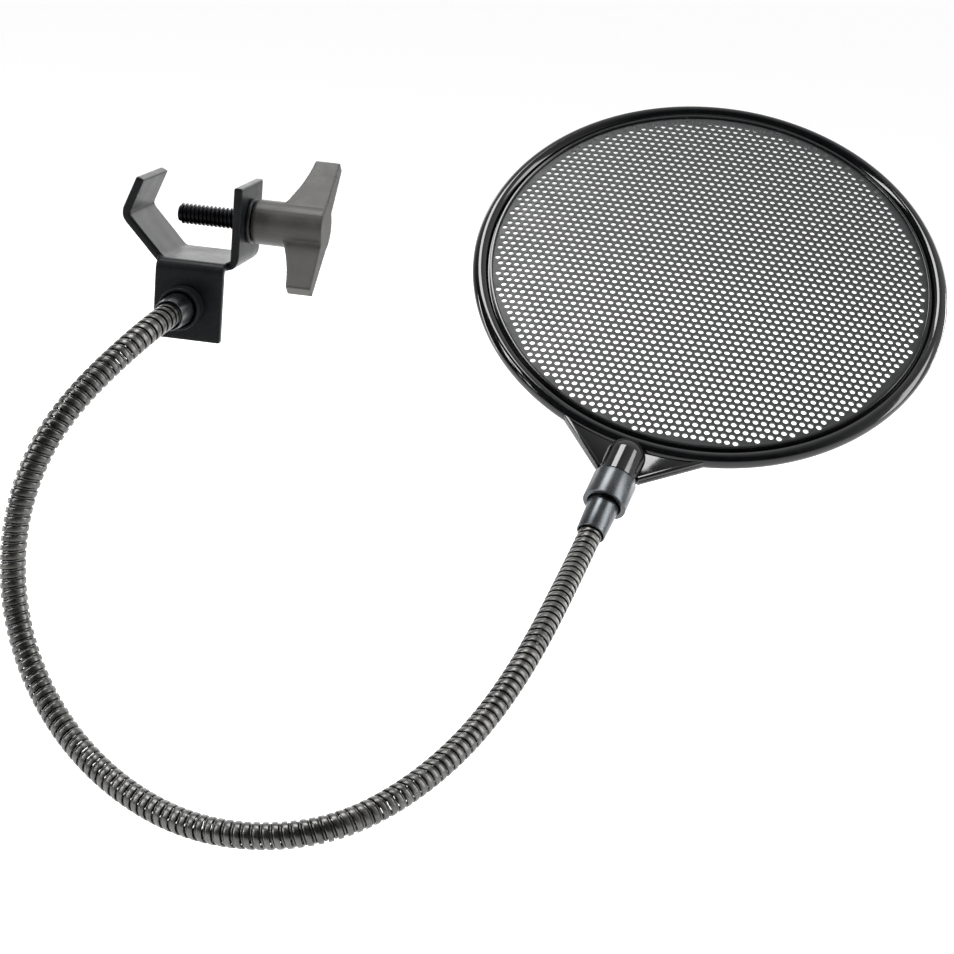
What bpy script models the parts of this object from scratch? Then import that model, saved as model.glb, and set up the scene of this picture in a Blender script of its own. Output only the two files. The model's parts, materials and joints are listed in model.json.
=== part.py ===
"""Pop filter: a domed, perforated screen in a round hoop, carried by a wound gooseneck on a screw clamp.

+X runs along the clamp screw towards its T-handle, +Y along the stand tube that the jaw holds, away from
the side where the neck leaves, and +Z up. The origin is on the screw's axis, in the middle of the jaw.
Lengths are in metres.
"""

import math

import bmesh
import bpy
import numpy as np
from mathutils import Euler, Vector

MM = 0.001
FIT_GAP = 0.3 * MM  # between the faces of pieces that touch
ROUND_SIDES = 32
HOOP_SIDES = 72
SMOOTH_ANGLE = math.radians(35)

# Clamp bracket: one strip of sheet steel, bent into a jaw, with a tab folded down from its base
SHEET = 2.5 * MM
STRIP_WIDTH = 24 * MM
JAW_GAP = 32 * MM  # from the bottom of the V to the upright
JAW_DEPTH = 11.7 * MM  # from the screw's axis down to the base
UPRIGHT_RISE = 11.2 * MM  # above the screw's axis
SLOPE_RUN = 11.25 * MM  # the V's lower side, measured along X
LIP_RUN = 4.15 * MM
LIP_RISE = 10.6 * MM
BEND_RADIUS = 1.8 * MM  # inside each bend
TAB_DROP = 24.1 * MM  # from the base's top face to the tab's lower edge
TAB_BEND_RADIUS = 0.6 * MM
TAB_OVERHANG = 1.35 * MM  # how far the tab reaches under the V's lower side
RELIEF_WIDTH = 1.1 * MM  # the notch between the tab's bend and the upright's
RELIEF_DEPTH = 1.6 * MM
EDGE_ROUNDING = 0.35 * MM

# Clamp screw, 1/4 inch UNC, its washer and its T-handle
SCREW_RADIUS = 3.175 * MM
SCREW_REACH = 12.1 * MM  # from the bottom of the V to the tip, wound right in
SCREW_TIP_CHAMFER = 0.9 * MM
WASHER_RADIUS = 6.8 * MM
WASHER_THICKNESS = 0.9 * MM
HUB_RADIUS = 6.8 * MM
HUB_LENGTH = 22 * MM
HUB_ROUNDING = 1.2 * MM
SCREW_IN_HUB = 16 * MM
HANDLE_SPAN = 44.6 * MM
HANDLE_TIP_WIDTH = 7.7 * MM  # along X
HANDLE_ROOT_WIDTH = 13 * MM
HANDLE_TIP_FRONT = 2.5 * MM  # the leading face at the tip, off the handle's middle plane
HANDLE_TIP_BACK = 1.7 * MM
HANDLE_TURN = math.radians(-41)  # how far round the handle stands

# Gooseneck
NECK_RADIUS = 3.75 * MM
NECK_ROUTE = [  # between the two ferrules' mouths
    (-5.5, -56.0, -36.0),
    (-19.5, -76.5, -62.5),
    (-20.0, -85.5, -101.0),
    (23.5, -110.5, -140.5),
    (73.5, -118.5, -140.5),
    (109.5, -80.0, -124.0),
    (125.5, -29.5, -98.5),
]
NECK_JOINTS = 12
NECK_SIDES = 12
NECK_STATION_GAP = 6 * MM
BALL_SHARE = 0.8  # of the neck's radius
SHOULDER_SHARE = 0.98
STEM_SHARE = 0.62

# Ferrules: a tapered sleeve pressed on each end of the neck, seated in a round cup
FERRULE_LENGTH = 13 * MM
FERRULE_WALL = 0.5 * MM
FERRULE_TAPER = 0.5 * MM
FERRULE_BORE = 8.6 * MM  # how deep the neck goes in
FERRULE_LOOSENESS = 0.35 * MM  # between the neck and the mouth
NECK_INSERTION = 8.2 * MM
CUP_WALL = 1.1 * MM
BASE_CUP_HEIGHT = 6 * MM
BASE_CUP_RECESS = 3.3 * MM
BASE_CUP_OFFSET = -1 * MM  # from the middle of the tab, along X
HEAD_CUP_HEIGHT = 10.5 * MM
HEAD_CUP_RECESS = 1.6 * MM
HEAD_CUP_EXTRA = 0.7 * MM  # added to its radius
FIXING_RADIUS = 2 * MM  # the screw at the base and the stud at the head
FIXING_DEPTH = 3 * MM  # into a ferrule
SCREW_HEAD_RADIUS = 3.6 * MM
SCREW_HEAD_HEIGHT = 2.6 * MM
LOCK_WASHER_THICKNESS = 0.8 * MM

# Hoop: a round bead with a ledge inside, a boss for the stud and two webs
HEAD_MOUTH = Vector((130.7, 3.4, -85.2)) * MM  # where the neck enters the head ferrule
HOOP_TURN = Euler((math.radians(37.0), math.radians(9.9), math.radians(-7.0)), "XYZ")
HOOP_RADIUS = 80 * MM
BEAD_RADIUS = 2.65 * MM
LEDGE_INNER = 7.2 * MM  # in from the hoop's outer edge
LEDGE_THICKNESS = 1.6 * MM
BOSS_RADIUS = 6.45 * MM
BOSS_INSET = 3 * MM  # how far its nose reaches in past the hoop's outer edge
BOSS_OUTSET = 12.5 * MM
STUD_IN_BOSS = 9 * MM
WEB_THICKNESS = 2 * MM
WEB_RIB = 1.5 * MM
WEB_RIB_THICKNESS = 3.2 * MM
WEB_SPREAD = math.radians(19)
WEB_TIP_INSET = 1.7 * MM  # from the boss's outer end

# Screen and the ring that holds it
SCREEN_THICKNESS = 0.8 * MM
SCREEN_EDGE_GAP = 0.45 * MM
SCREEN_BORDER = 1.6 * MM  # the flat edge under the ring
DOME_RISE = 2.35 * MM
DOME_ROUND_SHARE = 0.62  # the rest of the dome falls away towards its edge
SCREEN_FRONT = 1.57 * MM  # the flat edge's front face, from the hoop's middle plane
RING_WIDTH = 1 * MM
RING_HEIGHT = 0.75 * MM

# Where the parts meet, worked out from the sizes above
V_X = -JAW_GAP / 2
UPRIGHT_X = JAW_GAP / 2
BASE_Z = -JAW_DEPTH
BASE_LEFT_X = V_X + SLOPE_RUN
TAB_LEFT_X = BASE_LEFT_X - TAB_OVERHANG
TAB_RIGHT_X = UPRIGHT_X - RELIEF_WIDTH
TAB_OUTER_RADIUS = TAB_BEND_RADIUS + SHEET
TAB_FACE_Y = -STRIP_WIDTH / 2 - TAB_OUTER_RADIUS
FERRULE_MOUTH_RADIUS = NECK_RADIUS + FERRULE_LOOSENESS + FERRULE_WALL
FERRULE_ROOT_RADIUS = FERRULE_MOUTH_RADIUS + FERRULE_TAPER
CUP_INNER = FERRULE_ROOT_RADIUS + FIT_GAP
CUP_RADIUS = CUP_INNER + CUP_WALL - FIT_GAP / 2
HOLE_RADIUS = FIXING_RADIUS + FIT_GAP
BEAD_MIDDLE = HOOP_RADIUS - BEAD_RADIUS
SCREEN_BACK = SCREEN_FRONT - SCREEN_THICKNESS
LEDGE_TOP = SCREEN_BACK - FIT_GAP
BEAD_INNER = BEAD_MIDDLE - math.sqrt(BEAD_RADIUS**2 - LEDGE_TOP**2)
SCREEN_RADIUS = BEAD_INNER - SCREEN_EDGE_GAP
BOSS_END = HOOP_RADIUS + BOSS_OUTSET
BASE_SEAT = BASE_CUP_HEIGHT - BASE_CUP_RECESS
HEAD_SEAT = HEAD_CUP_HEIGHT - HEAD_CUP_RECESS


def clear_scene():
    for obj in list(bpy.data.objects):
        bpy.data.objects.remove(obj)


def finish_material(name, colour, roughness, metallic):
    material = bpy.data.materials.new(name)
    material.use_nodes = True
    shader = material.node_tree.nodes["Principled BSDF"]
    shader.inputs["Base Color"].default_value = (*colour, 1)
    shader.inputs["Roughness"].default_value = roughness
    shader.inputs["Metallic"].default_value = metallic
    return material


def place_empty(name, location, rotation=(0, 0, 0), parent=None):
    empty = bpy.data.objects.new(name, None)
    bpy.context.scene.collection.objects.link(empty)
    empty.location = location
    empty.rotation_euler = rotation
    empty.parent = parent
    return empty


def make_object(name, bm, material=None, parent=None):
    """Links a bmesh as an object, with its faces turned outwards and its round faces shaded smooth."""
    bmesh.ops.recalc_face_normals(bm, faces=bm.faces)
    mesh = bpy.data.meshes.new(name)
    bm.to_mesh(mesh)
    bm.free()
    mesh.shade_smooth()
    mesh.set_sharp_from_angle(angle=SMOOTH_ANGLE)
    obj = bpy.data.objects.new(name, mesh)
    bpy.context.scene.collection.objects.link(obj)
    obj.parent = parent
    if material:
        mesh.materials.append(material)
    return obj


def turned(name, outline, material=None, parent=None, sides=ROUND_SIDES):
    """Spins a closed outline of (radius, height) points round the parent's Z axis."""
    bm = bmesh.new()
    corners = [bm.verts.new((radius, 0, height)) for radius, height in outline]
    for first, second in zip(corners, corners[1:] + corners[:1]):
        if first.co.x > 0 or second.co.x > 0:
            bm.edges.new((first, second))
    bmesh.ops.spin(
        bm,
        geom=list(bm.verts) + list(bm.edges),
        cent=(0, 0, 0),
        axis=(0, 0, 1),
        angle=2 * math.pi,
        steps=sides,
        use_merge=True,
    )
    bmesh.ops.remove_doubles(bm, verts=bm.verts, dist=1e-7)
    return make_object(name, bm, material, parent)


def prism(name, outline, depth, material=None, parent=None):
    """Extrudes an outline of 3-D points by the vector depth."""
    bm = bmesh.new()
    face = bm.faces.new([bm.verts.new(point) for point in outline])
    made = bmesh.ops.extrude_face_region(bm, geom=[face])
    moved = [item for item in made["geom"] if isinstance(item, bmesh.types.BMVert)]
    bmesh.ops.translate(bm, verts=moved, vec=depth)
    return make_object(name, bm, material, parent)


def combine(target, other, operation):
    """Adds or cuts another object, which is then only a helper."""
    modifier = target.modifiers.new(other.name, "BOOLEAN")
    modifier.operation = operation
    modifier.object = other
    modifier.solver = "EXACT"
    other.hide_render = True
    other.display_type = "WIRE"


def round_edges(obj, width):
    bevel = obj.modifiers.new("rounded_edges", "BEVEL")
    bevel.width = width
    bevel.segments = 2
    bevel.limit_method = "ANGLE"
    bevel.angle_limit = math.radians(50)


def arc(centre, radius, start, end, steps):
    """Points (x, y) on a circle from one angle to another."""
    angles = [start + (end - start) * i / steps for i in range(steps + 1)]
    return [(centre[0] + radius * math.cos(a), centre[1] + radius * math.sin(a)) for a in angles]


def bent_strip_outline(corners, inner_radius, thickness, steps=5):
    """The edge of a sheet bent at each inner corner. The sheet lies to the right of the path."""
    points = [Vector(corner) for corner in corners]
    inner, outer = [], []
    for i, point in enumerate(points):
        before = (point - points[i - 1]).normalized() if i > 0 else None
        after = (points[i + 1] - point).normalized() if i + 1 < len(points) else None
        if before is None or after is None:
            along = before or after
            side = Vector((along.y, -along.x))
            inner.append(point)
            outer.append(point + side * thickness)
            continue
        turn = before.angle_signed(after)
        reach = inner_radius * math.tan(abs(turn) / 2)
        start = point - before * reach
        centre = start - Vector((before.y, -before.x)) * inner_radius
        for step in range(steps + 1):
            share = abs(turn) * step / steps
            ray = Vector((before.y, -before.x))
            ray.rotate(Euler((0, 0, share)).to_matrix().to_2x2())
            inner.append(centre + ray * inner_radius)
            outer.append(centre + ray * (inner_radius + thickness))
    return inner + outer[::-1]


def clamp_bracket(material):
    """The jaw: upright, base, the V's lower side and its lip, with the neck's tab and the screw's hole."""
    path = [
        (V_X + LIP_RUN, LIP_RISE),
        (V_X, 0),
        (BASE_LEFT_X, BASE_Z),
        (UPRIGHT_X, BASE_Z),
        (UPRIGHT_X, UPRIGHT_RISE),
    ]
    outline = bent_strip_outline(path, BEND_RADIUS, SHEET)
    edge = [(x, -STRIP_WIDTH / 2, z) for x, z in outline]
    bracket = prism("clamp_bracket", edge, (0, STRIP_WIDTH, 0), material)
    combine(bracket, bracket_tab(), "UNION")
    combine(bracket, relief_notch(), "DIFFERENCE")
    screw_axis = place_empty("screw_hole_axis", (UPRIGHT_X, 0, 0), (0, math.radians(90), 0))
    combine(bracket, drill("screw_hole", SCREW_RADIUS + FIT_GAP, screw_axis), "DIFFERENCE")
    round_edges(bracket, EDGE_ROUNDING)
    return bracket


def bracket_tab():
    """The tab: it leaves the base's front edge, turns down and hangs as a flat plate."""
    bend = (-STRIP_WIDTH / 2, BASE_Z - TAB_OUTER_RADIUS)
    outer = arc(bend, TAB_OUTER_RADIUS, math.pi / 2, math.pi, 6)
    inner = arc(bend, TAB_BEND_RADIUS, math.pi, math.pi / 2, 4)
    tail_y = -STRIP_WIDTH / 2 + 2 * SHEET
    bottom = BASE_Z - TAB_DROP
    section = [(tail_y, BASE_Z), *outer, (TAB_FACE_Y, bottom), (TAB_FACE_Y + SHEET, bottom), *inner]
    section.append((tail_y, BASE_Z - SHEET))
    edge = [(TAB_LEFT_X, y, z) for y, z in section]
    tab = prism("bracket_tab", edge, (TAB_RIGHT_X - TAB_LEFT_X, 0, 0))
    combine(tab, drill("tab_hole", HOLE_RADIUS, base_axis()), "DIFFERENCE")
    return tab


def relief_notch():
    """The small notch that keeps the tab's bend apart from the upright's."""
    low = BASE_Z - 2 * SHEET
    front = -STRIP_WIDTH / 2 - SHEET
    back = -STRIP_WIDTH / 2 + RELIEF_DEPTH
    edge = [
        (TAB_RIGHT_X, front, low),
        (TAB_RIGHT_X, back, low),
        (TAB_RIGHT_X + RELIEF_WIDTH, back, low),
        (TAB_RIGHT_X + RELIEF_WIDTH, front, low),
    ]
    return prism("relief_notch", edge, (0, 0, 3 * SHEET))


def drill(name, radius, parent, length=4 * SHEET):
    """A cutter for a round hole, centred on its parent."""
    outline = [(0, length / 2), (radius, length / 2), (radius, -length / 2), (0, -length / 2)]
    return turned(name, outline, parent=parent)


def base_axis():
    """An empty on the tab's outer face, with its Z axis along the neck's way out."""
    x = (TAB_LEFT_X + TAB_RIGHT_X) / 2 + BASE_CUP_OFFSET
    z = BASE_Z - (TAB_OUTER_RADIUS + TAB_DROP) / 2
    return place_empty("base_axis", (x, TAB_FACE_Y, z), (math.radians(90), 0, 0))


def screw_parts(steel, plastic, black):
    """The screw, its washer and the T-handle, all on the X axis."""
    axis = place_empty("clamp_screw_axis", (0, 0, 0), (0, math.radians(90), 0))
    washer_back = UPRIGHT_X + SHEET + FIT_GAP
    hub_start = washer_back + WASHER_THICKNESS + FIT_GAP
    tip = V_X + SCREW_REACH
    end = hub_start + SCREW_IN_HUB
    shank = [
        (0, tip),
        (SCREW_RADIUS - SCREW_TIP_CHAMFER, tip),
        (SCREW_RADIUS, tip + SCREW_TIP_CHAMFER),
        (SCREW_RADIUS, end),
        (0, end),
    ]
    turned("clamp_screw", shank, steel, axis)
    inner = SCREW_RADIUS + FIT_GAP
    washer_front = washer_back + WASHER_THICKNESS
    washer = [
        (inner, washer_back),
        (WASHER_RADIUS, washer_back),
        (WASHER_RADIUS, washer_front),
        (inner, washer_front),
    ]
    turned("thrust_washer", washer, black, axis)
    t_handle(plastic, axis, hub_start, end + FIT_GAP)


def t_handle(material, axis, hub_start, bore_end):
    """A hub with two wings. Each wing's leading face runs off the hub's side, as on a propeller."""
    hub_end = hub_start + HUB_LENGTH
    rim = arc((HUB_RADIUS - HUB_ROUNDING, hub_start + HUB_ROUNDING), HUB_ROUNDING, -math.pi / 2, 0, 4)
    turned_hub = [(0, hub_start), *rim, (HUB_RADIUS, hub_end), (0, hub_end)]
    handle = turned("t_handle", turned_hub, material, axis)
    frame = place_empty("handle_turn", (0, 0, 0), (HANDLE_TURN, 0, 0))
    for name, half_turn in (("handle_wing_up", 0), ("handle_wing_down", math.pi)):
        side = place_empty(name + "_side", (0, 0, 0), (half_turn, 0, 0), frame)
        combine(handle, handle_wing(name, side, hub_end), "UNION")
    bore = drill("handle_bore", SCREW_RADIUS + FIT_GAP, axis, 2 * (bore_end - hub_start))
    bore.location.z = hub_start
    combine(handle, bore, "DIFFERENCE")


def handle_wing(name, parent, hub_end):
    """One wing: a plate in X and Z, thick at the hub, with a hollow curved inner edge."""
    root_z = HUB_RADIUS * 0.6
    tip_z = HANDLE_SPAN / 2
    root_x = hub_end - HANDLE_ROOT_WIDTH
    tip_x = hub_end - HANDLE_TIP_WIDTH
    bend = Vector((tip_x - 0.8 * MM, (root_z + tip_z) / 2))
    inner = []
    for i in range(9):
        t = i / 8
        start = Vector((root_x, root_z)) * (1 - t) ** 2
        inner.append(start + bend * 2 * t * (1 - t) + Vector((tip_x, tip_z)) * t**2)
    outline = [(root_x, 0), *inner, (hub_end, tip_z), (hub_end, 0)]
    wing = prism(name, [(x, HANDLE_TIP_BACK, z) for x, z in outline], (0, -2 * HUB_RADIUS, 0))
    wing.parent = parent
    front = Vector((-HUB_RADIUS * 0.93, 0))
    tip = Vector((-HANDLE_TIP_FRONT, tip_z))
    past = tip + (tip - front) * 0.2
    far = -3 * HUB_RADIUS
    before = front - (tip - front) * 0.2
    edge = [(before.x, before.y), (past.x, past.y), (far, past.y), (far, before.y)]
    shave = prism(name + "_shave", [(root_x - HUB_RADIUS, y, z) for y, z in edge], (3 * HUB_LENGTH, 0, 0))
    shave.parent = parent
    combine(wing, shave, "DIFFERENCE")
    return wing


def ferrule(name, material, parent, seat):
    """A tapered sleeve: a bore for the neck at its mouth, and a small hole for the fixing at its root."""
    root = seat + FIT_GAP
    mouth = root + FERRULE_LENGTH
    lip = FERRULE_WALL / 2
    bore = FERRULE_MOUTH_RADIUS - FERRULE_WALL
    outline = [
        (HOLE_RADIUS, root),
        (FERRULE_ROOT_RADIUS - lip, root),
        (FERRULE_ROOT_RADIUS, root + lip),
        (FERRULE_MOUTH_RADIUS, mouth - lip),
        (FERRULE_MOUTH_RADIUS - lip, mouth),
        (bore, mouth - lip),
        (bore, mouth - FERRULE_BORE),
        (HOLE_RADIUS, mouth - FERRULE_BORE),
    ]
    turned(name, outline, material, parent)
    return mouth


def seat_cup(name, material, parent, height, seat, radius):
    """The round seat behind a ferrule, with a recess that its root stands in."""
    edge = CUP_WALL / 3
    outline = [
        (HOLE_RADIUS, FIT_GAP),
        (radius, FIT_GAP),
        (radius, height - edge),
        (radius - edge, height),
        (CUP_INNER, height),
        (CUP_INNER, seat),
        (HOLE_RADIUS, seat),
    ]
    turned(name, outline, material, parent)


def base_parts(painted, steel):
    """The neck's seat on the tab, and the screw that holds it from behind."""
    axis = base_axis()
    seat_cup("base_cup", painted, axis, BASE_CUP_HEIGHT, BASE_SEAT, CUP_RADIUS)
    mouth = ferrule("base_ferrule", painted, axis, BASE_SEAT)
    back = -SHEET - FIT_GAP
    washer_back = back - LOCK_WASHER_THICKNESS
    washer = [
        (HOLE_RADIUS, back),
        (SCREW_HEAD_RADIUS, back),
        (SCREW_HEAD_RADIUS, washer_back),
        (HOLE_RADIUS, washer_back),
    ]
    turned("lock_washer", washer, steel, axis)
    head_top = washer_back - FIT_GAP
    head_end = head_top - SCREW_HEAD_HEIGHT
    crown = SCREW_HEAD_HEIGHT * 0.6
    dome = arc((SCREW_HEAD_RADIUS - crown, head_end + crown), crown, 0, -math.pi / 2, 4)
    shank_end = BASE_SEAT + FIXING_DEPTH
    pin = [(0, shank_end), (FIXING_RADIUS, shank_end), (FIXING_RADIUS, head_top)]
    screw = turned("fixing_screw", [*pin, (SCREW_HEAD_RADIUS, head_top), *dome, (0, head_end)], steel, axis)
    for name, turn in (("cross_slot_a", 0), ("cross_slot_b", math.radians(90))):
        combine(screw, cross_slot(name, axis, head_end, turn), "DIFFERENCE")
    bpy.context.view_layer.update()
    return axis.matrix_world @ Vector((0, 0, mouth)), axis.matrix_world.to_3x3() @ Vector((0, 0, 1))


def cross_slot(name, parent, end, turn):
    """One of the two slots of the screw's cross recess."""
    long = SCREW_HEAD_RADIUS * 0.55
    thin = SCREW_HEAD_RADIUS * 0.12
    deep = end + SCREW_HEAD_HEIGHT * 0.6
    edge = [(-long, -thin, deep), (long, -thin, deep), (long, thin, deep), (-long, thin, deep)]
    slot = prism(name, edge, (0, 0, -SCREW_HEAD_HEIGHT), parent=parent)
    slot.rotation_euler.z = turn
    return slot


class NeckLine:
    """A smooth line through the neck's route, read by its length from the base ferrule's mouth."""

    def __init__(self, start, start_way, end, end_way, samples=60):
        points = np.array([start, *(Vector(p) * MM for p in NECK_ROUTE), end], float)
        chords = np.linalg.norm(np.diff(points, axis=0), axis=1)
        slopes = self.slopes(points, chords, start_way, end_way)
        line = []
        for i, chord in enumerate(chords):
            for t in np.arange(samples) / samples:
                basis = (2 * t**3 - 3 * t**2 + 1, t**3 - 2 * t**2 + t, 3 * t**2 - 2 * t**3, t**3 - t**2)
                along = chord * (basis[1] * slopes[i] + basis[3] * slopes[i + 1])
                line.append(basis[0] * points[i] + basis[2] * points[i + 1] + along)
        self.points = np.array([*line, points[-1]])
        steps = np.linalg.norm(np.diff(self.points, axis=0), axis=1)
        self.marks = np.concatenate([[0], np.cumsum(steps)])
        self.length = self.marks[-1]
        self.ways = (Vector(start_way), Vector(end_way))

    @staticmethod
    def slopes(points, chords, start_way, end_way):
        """The direction at each point that keeps the line's curvature even."""
        count = len(points)
        matrix = np.eye(count)
        sides = np.zeros((count, 3))
        sides[0] = start_way
        sides[-1] = end_way
        for i in range(1, count - 1):
            before, after = chords[i - 1], chords[i]
            matrix[i, i - 1 : i + 2] = after, 2 * (before + after), before
            steps = np.diff(points[i - 1 : i + 2], axis=0)
            sides[i] = 3 * (after * steps[0] / before + before * steps[1] / after)
        return np.linalg.solve(matrix, sides)

    def at(self, mark):
        """The point at that length. Past an end, the line runs straight on."""
        inside = min(max(mark, 0), self.length)
        point = Vector([np.interp(inside, self.marks, self.points[:, i]) for i in range(3)])
        return point + self.ways[0 if mark < 0 else 1] * (mark - inside)

    def way(self, mark):
        """The direction at that length."""
        step = MM
        return (self.at(mark + step) - self.at(mark - step)).normalized()


def swept(name, stations, material):
    """Skins round rings of (centre, direction, radius). A ring of no radius is a pole."""
    bm = bmesh.new()
    side = stations[0][1].orthogonal().normalized()
    rings = []
    for i, (centre, way, radius) in enumerate(stations):
        if i:
            side.rotate(stations[i - 1][1].rotation_difference(way))
        across = way.cross(side)
        if radius == 0:
            rings.append([bm.verts.new(centre)])
            continue
        angles = [2 * math.pi * k / NECK_SIDES for k in range(NECK_SIDES)]
        rings.append([bm.verts.new(centre + (side * math.cos(a) + across * math.sin(a)) * radius) for a in angles])
    for first, second in zip(rings, rings[1:]):
        for k in range(NECK_SIDES):
            corners = [ring[j % len(ring)] for ring, j in ((first, k), (first, k + 1), (second, k + 1), (second, k))]
            bm.faces.new(list(dict.fromkeys(corners)))
    return make_object(name, bm, material)


def ball_stations(pivot, way):
    """From the ball's pole to the shoulder: what a link turns on."""
    ball = NECK_RADIUS * BALL_SHARE
    stem = NECK_RADIUS * STEM_SHARE
    leave = math.pi - math.asin(stem / ball)
    stations = [(pivot - way * ball, way, 0)]
    for i in range(1, 6):
        angle = leave * i / 5
        stations.append((pivot - way * ball * math.cos(angle), way, ball * math.sin(angle)))
    shoulder = pivot + way * NECK_RADIUS * SHOULDER_SHARE
    stations.append((shoulder, way, stem))
    stations.append((shoulder + way * FIT_GAP, way, NECK_RADIUS))
    return stations


def cup_stations(pivot, way):
    """From the rim to the bottom of the hollow that the next link's ball turns in."""
    hollow = NECK_RADIUS * BALL_SHARE + FIT_GAP
    rim = pivot - way * FIT_GAP
    stations = [(rim, way, NECK_RADIUS)]
    for i in range(1, 5):
        start = math.asin(FIT_GAP / hollow)
        turn = start + (math.pi / 2 - start) * (i - 1) / 4
        stations.append((pivot - way * hollow * math.sin(turn), way, hollow * math.cos(turn)))
    stations.append((pivot - way * hollow, way, 0))
    return stations


def neck_links(line, material):
    """The neck as a chain: each link has a ball at its start and a hollow for the next ball at its end."""
    spacing = line.length / (NECK_JOINTS + 1)
    for i in range(NECK_JOINTS + 1):
        start = i * spacing
        end = start + spacing
        if i == 0:
            start = -NECK_INSERTION
            stations = [(line.at(start), line.way(start), 0), (line.at(start), line.way(start), NECK_RADIUS)]
        else:
            stations = ball_stations(line.at(start), line.way(start))
            start += NECK_RADIUS
        last = end + NECK_INSERTION if i == NECK_JOINTS else end
        count = math.ceil((last - start) / NECK_STATION_GAP)
        for k in range(1, count):
            mark = start + (last - start) * k / count
            stations.append((line.at(mark), line.way(mark), NECK_RADIUS))
        if i == NECK_JOINTS:
            stations += [(line.at(last), line.way(last), NECK_RADIUS), (line.at(last), line.way(last), 0)]
        else:
            stations += cup_stations(line.at(end), line.way(end))
        swept(f"neck_link_{i:02d}", stations, material)


def hoop_frame(material, hoop, socket):
    """The hoop: a round bead with a ledge for the screen, a boss with a round nose, and two webs."""
    start = math.pi - math.asin(LEDGE_TOP / BEAD_RADIUS)
    bottom = LEDGE_TOP - LEDGE_THICKNESS
    end = -math.pi - math.asin(bottom / BEAD_RADIUS)
    bead = arc((BEAD_MIDDLE, 0), BEAD_RADIUS, start, end, 11)
    ledge = HOOP_RADIUS - LEDGE_INNER
    frame = turned("hoop_frame", [(ledge, LEDGE_TOP), *bead, (ledge, bottom)], material, hoop, HOOP_SIDES)
    nose = HOOP_RADIUS - BOSS_INSET
    round_end = arc((0, nose + BOSS_RADIUS), BOSS_RADIUS, -math.pi / 2, 0, 8)
    boss = turned("boss", [*round_end, (BOSS_RADIUS, BOSS_END), (0, BOSS_END)], parent=socket)
    combine(frame, boss, "UNION")
    for name, side in (("left", -1), ("right", 1)):
        combine(frame, web(f"web_{name}", side, hoop, 0, WEB_THICKNESS), "UNION")
        combine(frame, web(f"web_rib_{name}", side, hoop, WEB_RIB, WEB_RIB_THICKNESS), "UNION")
    bore = drill("boss_bore", HOLE_RADIUS, socket, 2 * (STUD_IN_BOSS + FIT_GAP))
    bore.location.z = BOSS_END
    combine(frame, bore, "DIFFERENCE")
    return frame


def web(name, side, hoop, rib, thickness):
    """One web between hoop and boss, or the thicker rib along its outer edge."""
    root_x = side * (BEAD_MIDDLE + BEAD_RADIUS / 2) * math.sin(WEB_SPREAD)
    root_y = -(BEAD_MIDDLE + BEAD_RADIUS / 2) * math.cos(WEB_SPREAD)
    root = Vector((root_x, root_y))
    tip = Vector((side * (BOSS_RADIUS + WEB_RIB / 4), -(BOSS_END - WEB_TIP_INSET)))
    inside = Vector((side * BOSS_RADIUS / 2, tip.y))
    along = (tip - root).normalized()
    if rib:
        in_by = Vector((along.y, -along.x)) * side * rib
        corners = [root, tip, tip + in_by, root + in_by]
    else:
        corners = [root, tip, inside, Vector((inside.x, -BEAD_MIDDLE))]
    edge = [(corner.x, corner.y, -thickness / 2) for corner in corners]
    return prism(name, edge, (0, 0, thickness), parent=hoop)


def dome_height(radius):
    """How far the screen's front stands above its flat edge."""
    share = min(radius / (SCREEN_RADIUS - SCREEN_BORDER), 1)
    fall = DOME_ROUND_SHARE * share**2 + (1 - DOME_ROUND_SHARE) * share**4
    return DOME_RISE * (1 - fall)


def screen_parts(screen_metal, gloss, hoop):
    """The domed screen, drawn here without its holes, and the ring that presses on its edge."""
    flat = SCREEN_RADIUS - SCREEN_BORDER
    radii = [flat * i / 6 for i in range(7)] + [SCREEN_RADIUS]
    front = [(radius, SCREEN_FRONT + dome_height(radius)) for radius in radii]
    back = [(radius, height - SCREEN_THICKNESS) for radius, height in reversed(front)]
    turned("mesh_screen", front + back, screen_metal, hoop, HOOP_SIDES)
    outer = SCREEN_RADIUS
    low = SCREEN_FRONT + FIT_GAP
    high = low + RING_HEIGHT
    ring = [(outer - RING_WIDTH, low), (outer, low), (outer, high), (outer - RING_WIDTH, high)]
    turned("retaining_ring", ring, gloss, hoop, HOOP_SIDES)


def head_parts(painted, steel, socket_back):
    """The cup, ferrule and stud between the neck's end and the hoop's boss."""
    seat_cup("head_cup", painted, socket_back, HEAD_CUP_HEIGHT, HEAD_SEAT, CUP_RADIUS + HEAD_CUP_EXTRA)
    ferrule("head_ferrule", painted, socket_back, HEAD_SEAT)
    low = -STUD_IN_BOSS
    high = HEAD_SEAT + FIXING_DEPTH
    stud = [(0, low), (FIXING_RADIUS, low), (FIXING_RADIUS, high), (0, high)]
    turned("head_stud", stud, steel, socket_back, 24)


def hoop_axes():
    """Empties at the hoop's middle, along its socket, and on the boss's end face."""
    socket_way = Vector((0, -1, 0))
    socket_way.rotate(HOOP_TURN)
    mouth = BOSS_END + HEAD_SEAT + FIT_GAP + FERRULE_LENGTH
    hoop = place_empty("hoop_axis", HEAD_MOUTH - socket_way * mouth, HOOP_TURN)
    socket = place_empty("socket_axis", (0, 0, 0), (math.radians(90), 0, 0), hoop)
    socket_back = place_empty("swivel_axis", (0, 0, BOSS_END), parent=socket)
    return hoop, socket, socket_back, socket_way


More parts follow.
